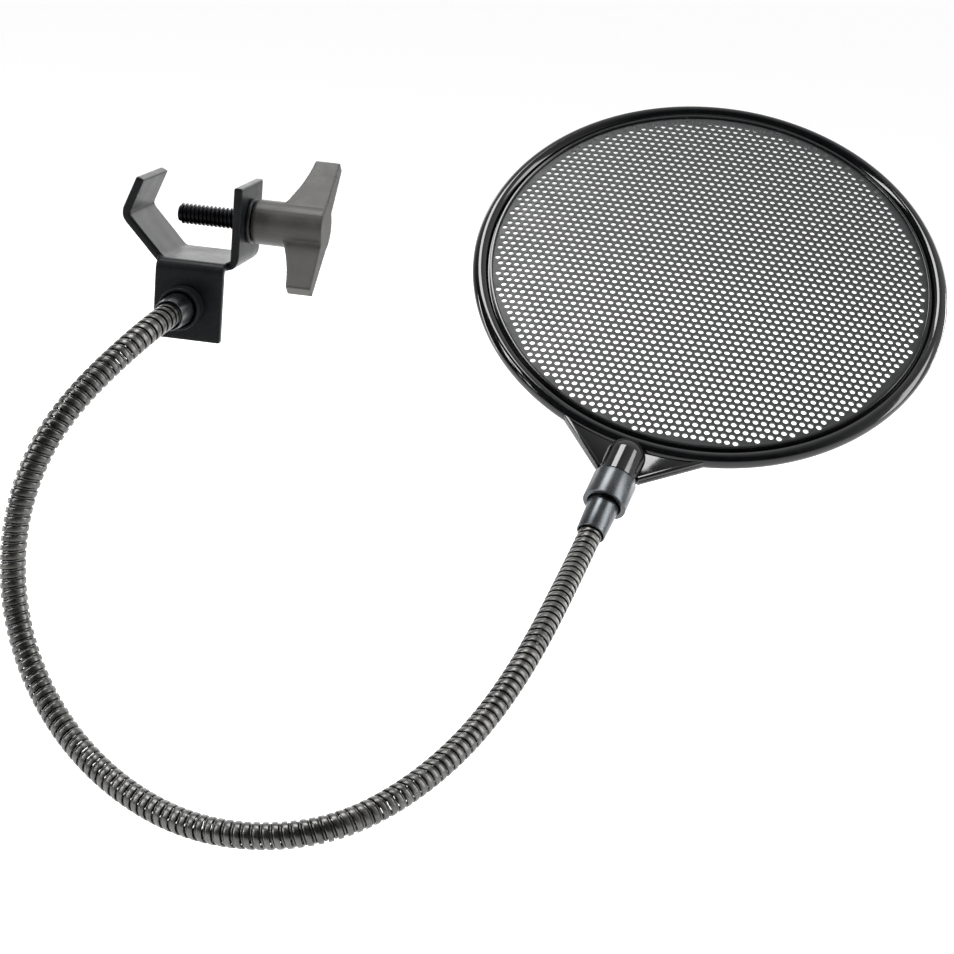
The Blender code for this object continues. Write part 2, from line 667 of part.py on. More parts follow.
def main():
    clear_scene()
    painted = finish_material("black_paint", (0.035, 0.037, 0.040), 0.42, 0.1)
    neck_steel = finish_material("neck_steel", (0.10, 0.10, 0.105), 0.35, 0.9)
    screw_steel = finish_material("black_screw_steel", (0.04, 0.04, 0.042), 0.4, 0.9)
    zinc = finish_material("fixing_steel", (0.30, 0.30, 0.31), 0.35, 1.0)
    plastic = finish_material("grey_plastic", (0.13, 0.125, 0.12), 0.6, 0.0)
    black = finish_material("washer_plastic", (0.012, 0.012, 0.012), 0.5, 0.0)
    gloss = finish_material("gloss_black", (0.015, 0.016, 0.017), 0.12, 0.0)
    screen_metal = finish_material("screen_paint", (0.05, 0.052, 0.055), 0.45, 0.4)
    sleeve = finish_material("sleeve_black", (0.05, 0.052, 0.055), 0.5, 0.3)
    clamp_bracket(painted)
    screw_parts(screw_steel, plastic, black)
    base_mouth, base_way = base_parts(sleeve, zinc)
    hoop, socket, socket_back, socket_way = hoop_axes()
    line = NeckLine(base_mouth, base_way, HEAD_MOUTH, -socket_way)
    neck_links(line, neck_steel)
    head_parts(sleeve, zinc, socket_back)
    hoop_frame(gloss, hoop, socket)
    screen_parts(screen_metal, gloss, hoop)


main()
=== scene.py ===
# %% [markdown]
# # A pop filter on a gooseneck
#
# A pop filter stands between a singer and a microphone. A thin, perforated steel screen spreads the puffs of
# air that "p" and "b" make. It sits in a glossy plastic hoop, on a gooseneck that bends where it is pushed and
# stays there, and a small V-jaw clamp holds the whole thing on the microphone stand's tube.
#
# The solid model is loaded first, as a fixed frame. Each piece below is drawn in finer detail on top of it. All but
# the neck's wires ride on the frame's bodies, so they move as the solid does. Everything is in metres. +X runs
# along the clamp screw towards its T-handle, +Y along the stand's tube and +Z up.

# %% The frame, and the sizes that the solid model was drawn to
import json
import math

import bmesh
import bpy
import numpy as np
from mathutils import Euler, Matrix, Vector


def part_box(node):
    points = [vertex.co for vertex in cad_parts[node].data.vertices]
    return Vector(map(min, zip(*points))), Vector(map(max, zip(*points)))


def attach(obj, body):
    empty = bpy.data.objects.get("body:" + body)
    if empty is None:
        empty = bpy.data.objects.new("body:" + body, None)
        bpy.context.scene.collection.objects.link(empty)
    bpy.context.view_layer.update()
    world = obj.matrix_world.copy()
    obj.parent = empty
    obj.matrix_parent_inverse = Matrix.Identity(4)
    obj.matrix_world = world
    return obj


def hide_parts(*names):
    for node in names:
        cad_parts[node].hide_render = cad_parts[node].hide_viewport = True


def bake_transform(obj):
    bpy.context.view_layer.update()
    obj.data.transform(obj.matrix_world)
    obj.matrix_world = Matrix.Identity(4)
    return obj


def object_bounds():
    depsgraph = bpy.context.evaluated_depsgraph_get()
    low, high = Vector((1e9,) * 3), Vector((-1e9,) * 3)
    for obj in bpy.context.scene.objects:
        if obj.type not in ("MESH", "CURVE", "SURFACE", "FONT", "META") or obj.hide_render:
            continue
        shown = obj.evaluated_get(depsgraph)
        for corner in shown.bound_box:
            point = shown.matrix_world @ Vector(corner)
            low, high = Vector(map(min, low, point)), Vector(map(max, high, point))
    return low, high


MM = 0.001
FULL_TURN = 2 * math.pi

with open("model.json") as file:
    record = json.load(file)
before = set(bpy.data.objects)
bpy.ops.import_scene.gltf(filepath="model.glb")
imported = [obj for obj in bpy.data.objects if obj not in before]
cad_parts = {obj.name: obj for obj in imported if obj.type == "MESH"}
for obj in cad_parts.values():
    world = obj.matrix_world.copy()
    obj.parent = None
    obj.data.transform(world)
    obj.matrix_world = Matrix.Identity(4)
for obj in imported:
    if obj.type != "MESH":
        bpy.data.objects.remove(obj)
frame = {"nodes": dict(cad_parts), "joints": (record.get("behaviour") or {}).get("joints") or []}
cad_bounds = [list(corner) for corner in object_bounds()]
joints = {joint["name"]: joint for joint in frame["joints"]}

# %% [markdown]
# ## Small tools
#
# A node tree, for a material or for geometry, is a list of nodes and links. One function adds a node: it sets
# the node's own settings, then fills its sockets, and a socket that is given another node is linked to it.
# Colours are written as the hex values that a paint chart would give, and turned to the linear values that
# light adds up in.

# %% One function for nodes, one for colours


def add(tree, kind, sockets=None, **settings):
    """Adds a node. sockets maps a socket's name or number to a value, a node's first output, or an output."""
    node = tree.nodes.new(kind)
    for name, value in settings.items():
        setattr(node, name, value)
    for key, value in (sockets or {}).items():
        if isinstance(value, bpy.types.Node):
            value = value.outputs[0]
        if isinstance(value, bpy.types.NodeSocket):
            tree.links.new(value, node.inputs[key])
        else:
            node.inputs[key].default_value = value
    return node


def linear(hex_colour):
    """An sRGB colour such as "#1b1d1f" as linear red, green, blue and alpha."""
    parts = [int(hex_colour[i : i + 2], 16) / 255 for i in (1, 3, 5)]
    return (*[c / 12.92 if c <= 0.04045 else ((c + 0.055) / 1.055) ** 2.4 for c in parts], 1)


# %% Making and keeping meshes

SMOOTH_ANGLE = math.radians(32)


def finish_mesh(mesh, angle=SMOOTH_ANGLE):
    """Smooth shading over everything but the real edges."""
    mesh.shade_smooth()
    mesh.set_sharp_from_angle(angle=angle)
    return mesh


def piece(name, mesh, material, body=None, replaces=()):
    """Puts a finished mesh in the scene as one piece of the object."""
    obj = bpy.data.objects.new(name, mesh)
    bpy.context.scene.collection.objects.link(obj)
    mesh.materials.clear()
    mesh.materials.append(material)
    if body:
        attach(obj, body)
    if replaces:
        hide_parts(*replaces)
    print(f"{name}: {len(mesh.polygons)} faces")
    return obj


def turned(outline, sides, matrix):
    """Spins a closed outline of (radius, height) points round Z, then moves it to its place."""
    bm = bmesh.new()
    corners = [bm.verts.new((radius, 0, height)) for radius, height in outline]
    for first, second in zip(corners, corners[1:] + corners[:1]):
        if first.co.x > 0 or second.co.x > 0:
            bm.edges.new((first, second))
    everything = list(bm.verts) + list(bm.edges)
    spin = {"cent": (0, 0, 0), "axis": (0, 0, 1), "angle": FULL_TURN, "steps": sides, "use_merge": True}
    bmesh.ops.spin(bm, geom=everything, **spin)
    bmesh.ops.remove_doubles(bm, verts=bm.verts, dist=1e-7)
    bmesh.ops.recalc_face_normals(bm, faces=bm.faces)
    bm.transform(matrix)
    mesh = bpy.data.meshes.new("turned")
    bm.to_mesh(mesh)
    bm.free()
    return finish_mesh(mesh)


def arc(centre, radius, start, end, steps):
    """Points on a circle from one angle to another, for rounding an outline."""
    angles = [start + (end - start) * i / steps for i in range(steps + 1)]
    return [(centre[0] + radius * math.cos(a), centre[1] + radius * math.sin(a)) for a in angles]


def rounded(outline, radius, steps=4):
    """The same outline with its corners rounded. A corner on the axis stays, and a short side halves the radius."""
    smooth = []
    for i, corner in enumerate(outline):
        here = Vector(corner)
        before = Vector(outline[i - 1]) - here
        after = Vector(outline[(i + 1) % len(outline)]) - here
        if here.x < 1e-6:
            smooth.append(tuple(here))
            continue
        reach = min(radius, before.length * 0.45, after.length * 0.45)
        start = here + before.normalized() * reach
        end = here + after.normalized() * reach
        for k in range(steps + 1):
            t = k / steps
            smooth.append(tuple(start * (1 - t) ** 2 + here * 2 * t * (1 - t) + end * t**2))
    return smooth


def baked(mesh, *modifiers):
    """Runs modifiers on a mesh and keeps the result. Each is (kind, settings)."""
    obj = bpy.data.objects.new("work", mesh)
    bpy.context.scene.collection.objects.link(obj)
    for kind, settings in modifiers:
        modifier = obj.modifiers.new(kind, kind)
        for name, value in settings.items():
            setattr(modifier, name, value)
    bpy.context.view_layer.update()
    result = bpy.data.meshes.new_from_object(obj.evaluated_get(bpy.context.evaluated_depsgraph_get()))
    bpy.data.objects.remove(obj)
    return result


def copy_of(node):
    """A copy of a solid's mesh with its loose triangles merged, ready to be reshaped."""
    bm = bmesh.new()
    bm.from_mesh(frame["nodes"][node].data)
    bm.transform(frame["nodes"][node].matrix_world)
    bmesh.ops.remove_doubles(bm, verts=bm.verts, dist=2e-6)
    bmesh.ops.dissolve_limit(bm, verts=bm.verts, edges=bm.edges, angle_limit=math.radians(0.5))
    mesh = bpy.data.meshes.new(node)
    bm.to_mesh(mesh)
    bm.free()
    return finish_mesh(mesh)


def softened(node, grain, passes):
    """A copy of a solid with all its edges rounded: remade in small even faces, then relaxed."""
    remesh = ("REMESH", {"mode": "VOXEL", "voxel_size": grain})
    mesh = baked(copy_of(node), remesh, ("SMOOTH", {"factor": 0.6, "iterations": passes}))
    mesh.shade_smooth()
    return mesh


# %% [markdown]
# ## Geometry Nodes
#
# Whatever repeats or follows a path is drawn by a node tree. A tree is built once, with its sizes as named
# inputs, and then run with different sizes. Each run starts from a seed object, and the result is kept as a
# plain mesh, so no modifier is left behind.

# %% Building a tree and running it


def new_tree(name, inputs):
    """A Geometry Nodes tree with a geometry input, these named inputs and a geometry output."""
    tree = bpy.data.node_groups.new(name, "GeometryNodeTree")
    faces = tree.interface
    faces.new_socket("Geometry", in_out="INPUT", socket_type="NodeSocketGeometry")
    for label, kind in inputs.items():
        faces.new_socket(label, in_out="INPUT", socket_type="NodeSocket" + kind)
    faces.new_socket("Geometry", in_out="OUTPUT", socket_type="NodeSocketGeometry")
    return tree, tree.nodes.new("NodeGroupInput").outputs


def end_tree(tree, geometry, material):
    """Every tree ends the same way: real geometry in place of instances, and its material."""
    real = add(tree, "GeometryNodeRealizeInstances", {0: geometry})
    painted = add(tree, "GeometryNodeSetMaterial", {"Geometry": real, "Material": material})
    add(tree, "NodeGroupOutput", {0: painted})


def grow(tree, seed, values):
    """Runs a tree on seed data, with its inputs set by their sockets' identifiers, and keeps the plain mesh."""
    obj = bpy.data.objects.new("seed", seed)
    bpy.context.scene.collection.objects.link(obj)
    modifier = obj.modifiers.new("grow", "NODES")
    modifier.node_group = tree
    for item in tree.interface.items_tree:
        if item.in_out == "INPUT" and item.name in values:
            modifier[item.identifier] = values[item.name]
    bpy.context.view_layer.update()
    mesh = bpy.data.meshes.new_from_object(obj.evaluated_get(bpy.context.evaluated_depsgraph_get()))
    obj.modifiers.remove(modifier)
    bpy.data.objects.remove(obj)
    return mesh


# %% [markdown]
# ## The winding tree
#
# A gooseneck is two wires wound into one tube. A wide one is drawn here with a slightly rounded crown, and a
# narrow wedge fills the groove between its turns. A screw thread is the same idea on a straight line.
#
# So one tree winds a wire of any section round any line: it lays out points, lifts each one off the line by
# the wire's radius and turns it round the line, and then sweeps the section along them.
#
# A displaced tube would be simpler, but its grooves would cut across its faces. A swept wire has edges that
# follow the winding, so its highlights stay clean.

# %% Winding a wire round a line


def build_winding_tree():
    sizes = ["Pitch", "Radius", "Base width", "Crest width", "Height", "Rounding", "Crown"]
    inputs = {label: "Float" for label in [*sizes, "Shift", "First turn", "Turns"]}
    inputs.update({"Steps per turn": "Int", "Section points": "Int", "Material": "Material"})
    tree, given = new_tree("winding", inputs)

    steps = add(tree, "ShaderNodeMath", {0: given["Turns"], 1: given["Steps per turn"]}, operation="MULTIPLY")
    count = add(tree, "ShaderNodeMath", {0: steps, 1: 1.5}, operation="ADD")
    index = add(tree, "GeometryNodeInputIndex")
    done = add(tree, "ShaderNodeMath", {0: index, 1: given["Steps per turn"]}, operation="DIVIDE")
    turn = add(tree, "ShaderNodeMath", {0: done, 1: given["First turn"]}, operation="ADD")
    mark = add(tree, "ShaderNodeMath", {0: turn, 1: given["Pitch"], 2: given["Shift"]}, operation="MULTIPLY_ADD")
    angle = add(tree, "ShaderNodeMath", {0: turn, 1: FULL_TURN}, operation="MULTIPLY")

    line = add(tree, "GeometryNodeSampleCurve", {"Curves": given["Geometry"], "Length": mark}, mode="LENGTH")
    across = {0: line.outputs["Tangent"], 1: line.outputs["Normal"]}
    side = add(tree, "ShaderNodeVectorMath", across, operation="CROSS_PRODUCT")
    cosine = add(tree, "ShaderNodeMath", {0: angle}, operation="COSINE")
    sine = add(tree, "ShaderNodeMath", {0: angle}, operation="SINE")
    up_part = {0: line.outputs["Normal"], "Scale": cosine}
    up = add(tree, "ShaderNodeVectorMath", up_part, operation="SCALE")
    over = add(tree, "ShaderNodeVectorMath", {0: side, "Scale": sine}, operation="SCALE")
    outward = add(tree, "ShaderNodeVectorMath", {0: up, 1: over}, operation="ADD")
    lift = add(tree, "ShaderNodeVectorMath", {0: outward, "Scale": given["Radius"]}, operation="SCALE")
    place = add(tree, "ShaderNodeVectorMath", {0: line.outputs["Position"], 1: lift}, operation="ADD")

    points = add(tree, "GeometryNodeMeshLine", {"Count": count})
    path = add(tree, "GeometryNodeMeshToCurve", {"Mesh": points})
    wound = add(tree, "GeometryNodeSetPosition", {"Geometry": path, "Position": place})
    along = line.outputs["Tangent"]
    aimed = add(tree, "GeometryNodeSetCurveNormal", {"Curve": wound, "Normal": along}, mode="FREE")

    shape = {"Height": given["Height"], "Bottom Width": given["Base width"], "Top Width": given["Crest width"]}
    blank = add(tree, "GeometryNodeCurvePrimitiveQuadrilateral", {**shape, "Offset": 0.0}, mode="TRAPEZOID")
    rounding = {"Curve": blank, "Radius": given["Rounding"], "Count": 4, "Limit Radius": True}
    soft = add(tree, "GeometryNodeFilletCurve", rounding, mode="POLY")
    even = {"Curve": soft, "Count": given["Section points"]}
    section = add(tree, "GeometryNodeResampleCurve", even, mode="COUNT")
    where = add(tree, "ShaderNodeSeparateXYZ", {0: add(tree, "GeometryNodeInputPosition")})
    reach = add(tree, "ShaderNodeMath", {0: where.outputs["X"], 1: given["Crest width"]}, operation="DIVIDE")
    fall = add(tree, "ShaderNodeMath", {0: reach, 1: reach}, operation="MULTIPLY")
    drop = add(tree, "ShaderNodeMath", {0: fall, 1: given["Crown"]}, operation="MULTIPLY")
    height = add(tree, "ShaderNodeMath", {0: where.outputs["Y"], 1: drop}, operation="SUBTRACT")
    crowned_to = add(tree, "ShaderNodeCombineXYZ", {"X": where.outputs["X"], "Y": height})
    above = add(tree, "ShaderNodeMath", {0: where.outputs["Y"], 1: 0.0}, operation="GREATER_THAN")
    crown = {"Geometry": section, "Selection": above, "Position": crowned_to}
    crowned = add(tree, "GeometryNodeSetPosition", crown)

    sweep = {"Curve": aimed, "Profile Curve": crowned, "Fill Caps": True}
    wire = add(tree, "GeometryNodeCurveToMesh", sweep)
    end_tree(tree, wire, given["Material"])
    return tree


winding_tree = build_winding_tree()
print("winding tree:", len(winding_tree.nodes), "nodes")

# %% [markdown]
# ## Camera, floor and light
#
# The camera looks slightly down on the clamp from the side where the neck leaves. The floor and the sky are
# pale, as in a product studio. A broad soft light stands behind the object and a small one hangs over it. A
# narrow one on each side draws the long highlights on the hoop, and two thin strips, one behind on the right and
# one on the left, add the fine ones. The sky is bright behind the object and nearly dark in front of it, so that
# dark surfaces keep their shape. Seen directly, it is plain white.

# %% Camera
CAMERA_PLACE = Vector((0.18651, -0.62424, 0.10964))
CAMERA_LOOKS = Vector((-0.1403, 0.9511, -0.2751))
CAMERA_UP = Vector((-0.128, 0.2581, 0.9576))
CAMERA_LENS = 80.65

right_way = CAMERA_LOOKS.cross(CAMERA_UP).normalized()
up_way = right_way.cross(CAMERA_LOOKS).normalized()
camera_turn = Matrix((right_way, up_way, -CAMERA_LOOKS.normalized())).transposed()
camera = bpy.data.objects.new("camera", bpy.data.cameras.new("camera"))
camera.data.lens = CAMERA_LENS
camera.data.clip_start = 10 * MM
camera.matrix_world = Matrix.LocRotScale(CAMERA_PLACE, camera_turn.to_quaternion(), None)
bpy.context.scene.collection.objects.link(camera)
bpy.context.scene.camera = camera
print("camera:", [round(v, 3) for v in camera.location])

# %% Floor, sky and lights
FLOOR_DROP = 0.30
FLOOR_SPAN = 60.0  # from the middle to each edge, so that the edge hardly shows
FLOOR_GLOW = 0.47
SKY_BRIGHT_WAY = (0.5, 0.87, 0.0)
SKY_FADE = 0.35
SKY_DARKEST = 0.03
middle = (Vector(cad_bounds[0]) + Vector(cad_bounds[1])) / 2

floor_mesh = bpy.data.meshes.new("studio_floor")
corners = [(x * FLOOR_SPAN, y * FLOOR_SPAN, -FLOOR_DROP) for x, y in ((-1, -1), (1, -1), (1, 1), (-1, 1))]
floor_mesh.from_pydata(corners, [], [(0, 1, 2, 3)])
floor = bpy.data.objects.new("studio_floor", floor_mesh)
bpy.context.scene.collection.objects.link(floor)
floor_material = bpy.data.materials.new("pale_paper")
floor_material.use_nodes = True
floor_shader = floor_material.node_tree.nodes["Principled BSDF"]
floor_shader.inputs["Base Color"].default_value = linear("#f8f8f8")
floor_shader.inputs["Roughness"].default_value = 0.9
floor_shader.inputs["Emission Color"].default_value = linear("#ffffff")
floor_shader.inputs["Emission Strength"].default_value = FLOOR_GLOW
floor_mesh.materials.append(floor_material)

world = bpy.data.worlds.new("studio")
world.use_nodes = True
sky = world.node_tree.nodes["Background"]
sky.inputs["Color"].default_value = linear("#ffffff")
way = add(world.node_tree, "ShaderNodeTexCoord").outputs["Generated"]
across = add(world.node_tree, "ShaderNodeVectorMath", {0: way, 1: SKY_BRIGHT_WAY}, operation="DOT_PRODUCT")
fade = {"Value": across.outputs["Value"], "From Min": -SKY_FADE, "From Max": SKY_FADE}
fade.update({"To Min": SKY_DARKEST, "To Max": 1.0})
backdrop = add(world.node_tree, "ShaderNodeMapRange", fade)
straight = add(world.node_tree, "ShaderNodeLightPath").outputs["Is Camera Ray"]
brighter = {0: backdrop.outputs["Result"], 1: straight}
strength = add(world.node_tree, "ShaderNodeMath", brighter, operation="MAXIMUM")
world.node_tree.links.new(strength.outputs[0], sky.inputs["Strength"])
bpy.context.scene.world = world
bpy.context.scene.view_settings.view_transform = "Standard"


def softbox(name, place, width, height, power):
    """A rectangular light that looks at the middle of the object."""
    light = bpy.data.lights.new(name, "AREA")
    light.shape = "RECTANGLE"
    light.size = width
    light.size_y = height
    light.energy = power
    obj = bpy.data.objects.new(name, light)
    bpy.context.scene.collection.objects.link(obj)
    obj.location = middle + Vector(place)
    obj.rotation_euler = (-Vector(place)).to_track_quat("-Z", "Y").to_euler()
    return obj


softbox("back_softbox", (-0.1, 1.5, 0.55), 2.4, 0.8, 13)
softbox("overhead_softbox", (-0.3, 0.1, 1.2), 0.4, 0.5, 8)
softbox("left_softbox", (-1.0, -0.6, 0.7), 0.22, 1.1, 12)
softbox("right_softbox", (1.1, 0.0, 0.5), 0.3, 1.2, 9)
softbox("back_right_strip", (1.3, 1.2, 0.15), 0.12, 0.9, 7)
softbox("front_left_strip", (-1.2, 0.2, 0.1), 0.1, 0.9, 4)

# %% [markdown]
# ## Finishes
#
# Ten finishes cover the object. Each one starts from what the real surface is and how it was made. The grain
# and the patches are noise at a real size in millimetres, read in the object's own coordinates, so they
# stay on the surface however the piece moves.

# %% The shared part of every finish
PATCH_SIZE = 9 * MM


def new_finish(name, base, roughness, metallic):
    """A material with its shader, its coordinates and its plain values set."""
    material = bpy.data.materials.new(name)
    material.use_nodes = True
    tree = material.node_tree
    shader = tree.nodes["Principled BSDF"]
    shader.inputs["Base Color"].default_value = linear(base)
    shader.inputs["Roughness"].default_value = roughness
    shader.inputs["Metallic"].default_value = metallic
    return material, tree, shader


def mottle(tree, shader, grain_mm, depth_mm, dark, light, rough_low, rough_high):
    """Fine grain that bumps the surface, and broader patches that vary its colour and roughness."""
    place = add(tree, "ShaderNodeTexCoord").outputs["Object"]
    fine = {"Vector": place, "Scale": 1 / (grain_mm * MM), "Detail": 3.0, "Roughness": 0.6}
    grain = add(tree, "ShaderNodeTexNoise", fine)
    broad = {"Vector": place, "Scale": 1 / PATCH_SIZE, "Detail": 4.0, "Roughness": 0.65}
    patch = add(tree, "ShaderNodeTexNoise", broad)
    both = add(tree, "ShaderNodeMath", {0: grain, 1: patch}, operation="ADD")
    share = add(tree, "ShaderNodeMapRange", {"Value": both, "From Min": 0.75, "From Max": 1.25})
    colour = add(tree, "ShaderNodeMix", {"Factor": share}, data_type="RGBA")
    colour.inputs["A"].default_value = linear(dark)
    colour.inputs["B"].default_value = linear(light)
    tree.links.new(colour.outputs["Result"], shader.inputs["Base Color"])
    ends = {"Value": both, "From Min": 0.75, "From Max": 1.25, "To Min": rough_low, "To Max": rough_high}
    rough = add(tree, "ShaderNodeMapRange", ends)
    tree.links.new(rough.outputs["Result"], shader.inputs["Roughness"])
    bump = add(tree, "ShaderNodeBump", {"Height": grain, "Distance": depth_mm * MM, "Strength": 1.0})
    tree.links.new(bump.outputs["Normal"], shader.inputs["Normal"])


# %% Powder coat, plastics and metals

# Powder coat: polyester powder, sprayed and baked on the bent strip. It flows into a fine orange peel.
powder_coat, tree, shader = new_finish("powder_coat", "#101214", 0.4, 0.0)
mottle(tree, shader, 0.45, 0.02, "#0b0c0e", "#17191b", 0.32, 0.44)
shader.inputs["Specular IOR Level"].default_value = 0.12

# Blackened steel wire, drawn through a die and rubbed smooth by bending: grey, with faint patches.
black_wire, tree, shader = new_finish("blackened_steel_wire", "#585856", 0.33, 1.0)
mottle(tree, shader, 0.5, 0.002, "#4b4b4a", "#656462", 0.29, 0.37)

# The narrow wire in the groove is the same steel, a little rougher, because nothing rubs it there.
bright_wire, tree, shader = new_finish("bright_spring_wire", "#565656", 0.36, 1.0)
mottle(tree, shader, 0.5, 0.002, "#4a4a4a", "#626262", 0.32, 0.4)

# Black oxide on a rolled thread: dark, slightly oily.
black_oxide, tree, shader = new_finish("black_oxide_steel", "#1d1d1f", 0.35, 1.0)
mottle(tree, shader, 0.3, 0.01, "#141416", "#2c2c2f", 0.28, 0.45)

# Zinc plate on small fixings: dull silver.
zinc_plate, tree, shader = new_finish("zinc_plate", "#a8a9a6", 0.32, 1.0)
mottle(tree, shader, 0.4, 0.01, "#8f908d", "#bcbdb9", 0.26, 0.42)

# Glass-filled nylon from a spark-eroded mould: grey, matte, finely textured.
filled_nylon, tree, shader = new_finish("glass_filled_nylon", "#3c3a38", 0.5, 0.0)
mottle(tree, shader, 0.35, 0.02, "#2c2b29", "#3b3937", 0.4, 0.54)

# Plain black nylon for the thrust washer.
black_nylon, tree, shader = new_finish("black_nylon", "#111112", 0.45, 0.0)
mottle(tree, shader, 0.5, 0.01, "#0c0c0d", "#18181a", 0.4, 0.55)

# Polished ABS: the hoop's mould was polished, so it reflects like lacquer, with faint flow marks.
polished_abs, tree, shader = new_finish("polished_abs", "#08090a", 0.06, 0.0)
mottle(tree, shader, 2.5, 0.003, "#060708", "#0d0e0f", 0.04, 0.12)

# Stove enamel on the punched steel screen: dark grey, thin enough to leave the edges of the holes crisp.
stove_enamel, tree, shader = new_finish("stove_enamel", "#15181a", 0.45, 0.0)
mottle(tree, shader, 0.6, 0.004, "#101214", "#1c1f21", 0.38, 0.52)

# Black anodised aluminium for the ferrules and the head's cup: turned, then etched to a fine, even grain.
black_anodised, tree, shader = new_finish("black_anodised_aluminium", "#4d5154", 0.32, 1.0)
mottle(tree, shader, 0.4, 0.003, "#45484a", "#545658", 0.24, 0.34)
finishes = [powder_coat, black_wire, bright_wire, black_oxide, zinc_plate]
finishes += [filled_nylon, black_nylon, polished_abs, stove_enamel, black_anodised]
print("finishes:", len(finishes))

# %% [markdown]
# ## The clamp
#
# The bracket is one strip of 2.5 mm sheet, sheared, punched and bent into a jaw, with a tab folded down for the
# neck. The solid already has every bend, but its edges are sharp. A copy is remeshed into small even faces and
# relaxed, which rounds the sheared edges as the coat of powder does.

# %% Bracket
BRACKET_GRAIN = 0.32 * MM
BRACKET_PASSES = 7
bracket_mesh = softened("clamp_bracket", BRACKET_GRAIN, BRACKET_PASSES)
piece("bracket", bracket_mesh, powder_coat, "stand_clamp", ["clamp_bracket"])

# %% [markdown]
# The clamp screw is 1/4 inch UNC, with 20 threads to the inch. Its core is a turned rod at the thread's root,
# and the winding tree lays the thread on it as one long wedge.

# %% Clamp screw
THREAD_PITCH = 1.27 * MM
THREAD_DEPTH = 0.72 * MM
THREAD_SINK = 0.03 * MM  # how far the thread's root lies inside the core
THREAD_START = 0.35  # of a turn from the tip
THREAD_RUNOUT = 1.2 * MM
TIP_ROUNDING = 0.5 * MM
FIT = 0.3 * MM
screw_low, screw_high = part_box("clamp_screw")
screw_radius = (screw_high.z - screw_low.z) / 2
core_radius = screw_radius - THREAD_DEPTH
along_x = Matrix.Rotation(math.radians(90), 4, "Y")
tip_x = screw_low.x
threaded = screw_high.x - tip_x - THREAD_RUNOUT


def straight_line(start, end):
    """A two-point curve for the winding tree."""
    curve = bpy.data.curves.new("line", "CURVE")
    curve.dimensions = "3D"
    spline = curve.splines.new("POLY")
    spline.points.add(1)
    for point, place in zip(spline.points, (start, end)):
        point.co = (*place, 1)
    return curve


core = [(0, tip_x), (core_radius, tip_x), (core_radius, screw_high.x), (0, screw_high.x)]
screw_mesh = turned(rounded(core, TIP_ROUNDING), 40, along_x)
thread = {
    "Pitch": THREAD_PITCH,
    "Radius": core_radius + THREAD_DEPTH / 2 - THREAD_SINK,
    "Base width": THREAD_PITCH * 0.94,
    "Crest width": THREAD_PITCH * 0.2,
    "Height": THREAD_DEPTH,
    "Rounding": 0.06 * MM,
    "Crown": 0.0,
    "Shift": 0.0,
    "First turn": THREAD_START,
    "Turns": threaded / THREAD_PITCH,
    "Steps per turn": 32,
    "Section points": 12,
    "Material": black_oxide,
}
thread_line = straight_line((tip_x, 0, 0), (screw_high.x, 0, 0))
thread_mesh = finish_mesh(grow(winding_tree, thread_line, thread))
piece("screw_core", screw_mesh, black_oxide, "clamp_screw", ["clamp_screw"])
piece("screw_thread", thread_mesh, black_oxide, "clamp_screw")
print("threads:", round(threaded / THREAD_PITCH, 1))

# %% [markdown]
# The T-handle is moulded in filled nylon, and a moulded piece has no sharp edge. The solid's edges are sharp,
# so a copy of it is remeshed and relaxed too, which rounds all its edges alike, even where the wings run into
# the hub.

# %% T-handle and thrust washer
HANDLE_GRAIN = 0.3 * MM
HANDLE_PASSES = 5
handle_mesh = softened("t_handle", HANDLE_GRAIN, HANDLE_PASSES)
piece("handle", handle_mesh, filled_nylon, "clamp_screw", ["t_handle"])

washer_low, washer_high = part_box("thrust_washer")
washer_radius = (washer_high.z - washer_low.z) / 2
washer_hole = screw_radius + FIT
washer = [
    (washer_hole, washer_low.x),
    (washer_radius, washer_low.x),
    (washer_radius, washer_high.x),
    (washer_hole, washer_high.x),
]
washer_mesh = turned(rounded(washer, 0.2 * MM), 64, along_x)
piece("washer", washer_mesh, black_nylon, "clamp_feed", ["thrust_washer"])

# %% [markdown]
# ## Cups and ferrules
#
# At each end, the neck is pressed into a tapered sleeve, the ferrule, whose root stands in a round cup. They
# are turned on a lathe, so each is an outline spun round its own axis. The base's axis runs out of the tab, and
# the head's runs from the hoop's boss: the joint that the hoop swivels on lies on it.

# %% Where the two ends are
FERRULE_LENGTH = 13 * MM
FERRULE_MOUTH_RADIUS = 4.6 * MM
FERRULE_ROOT_RADIUS = 5.1 * MM
FERRULE_BORE_RADIUS = 4.1 * MM
FERRULE_BORE = 8.6 * MM
CUP_INNER = 5.4 * MM
PIN_HOLE = 2.3 * MM
TURNED_SIDES = 96
CUP_ROUNDING = 0.35 * MM
FERRULE_ROUNDING = 0.22 * MM

tab_cup_low, tab_cup_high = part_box("base_cup")
base_root = (tab_cup_low + tab_cup_high) / 2
base_root.y = tab_cup_high.y + FIT
base_way = Vector((0, -1, 0))
base_place = Matrix.Translation(base_root) @ Matrix.Rotation(math.radians(90), 4, "X")

swivel = joints["hoop_swivel"]
boss_end = Vector(swivel["pos_m"])
socket_way = Vector(swivel["axis"]).normalized()
HOOP_TURN = Euler((math.radians(37.0), math.radians(9.9), math.radians(-7.0)), "XYZ")
BOSS_END_RADIUS = 92.5 * MM
hoop_middle = boss_end - socket_way * BOSS_END_RADIUS
hoop_place = Matrix.LocRotScale(hoop_middle, HOOP_TURN, None)
socket_place = hoop_place @ Matrix.Rotation(math.radians(90), 4, "X")
head_place = socket_place @ Matrix.Translation((0, 0, BOSS_END_RADIUS))
print("hoop middle:", [round(v / MM, 1) for v in hoop_middle], "mm")

# %% The turned pieces


